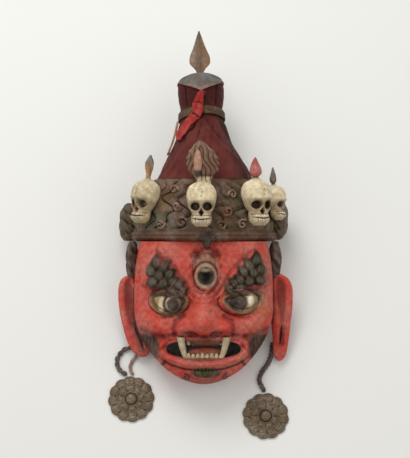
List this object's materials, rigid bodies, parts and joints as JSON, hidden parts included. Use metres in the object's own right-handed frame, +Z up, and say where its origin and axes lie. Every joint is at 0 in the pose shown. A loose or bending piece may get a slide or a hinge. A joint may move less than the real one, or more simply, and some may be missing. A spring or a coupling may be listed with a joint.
{
  "type": "carved dance mask",
  "caption": "Carved and painted wooden dance mask with a wrathful face, skull crown, cloth hat with a spear finial and tied ear pendants, lying on its back.",
  "frame": {"origin": "middle of the bounding box on the ground, without the cords", "axes": "+Z up out of the face, +Y from the chin to the hat's finial, +X to the right of the face as it is looked at"},
  "size_m": [0.3823, 0.872, 0.2544],
  "materials": {
    "red_painted_wood": "worn satin paint",
    "dark_painted_wood": "worn satin paint",
    "bone_painted_wood": "worn satin paint",
    "maroon_silk": "soft sheen",
    "dark_velvet": "matt",
    "grey_cloth": "matt",
    "green_cloth": "matt",
    "red_cloth": "matt",
    "beige_cloth": "matt",
    "dark_iron": "aged",
    "old_brass": "dull patina",
    "dark_cord": "matt",
    "pale_cord": "matt"
  },
  "bodies": {
    "root": {"face": "red_painted_wood", "crown": "dark_painted_wood", "skull_centre": "bone_painted_wood", "skull_left": "bone_painted_wood", "skull_right": "bone_painted_wood", "skull_far_right": "bone_painted_wood", "hat_cone": "maroon_silk", "hat_drum": "dark_velvet", "hat_cap": "grey_cloth", "hat_ribbon": "green_cloth", "red_scarf": "red_cloth", "side_strip": "beige_cloth", "spearhead": "dark_iron", "rosette_left": "old_brass", "rosette_right": "old_brass", "tie_left": "dark_cord", "tie_right": "dark_cord", "ribbon_left": "pale_cord"}
  },
  "joints": []
}
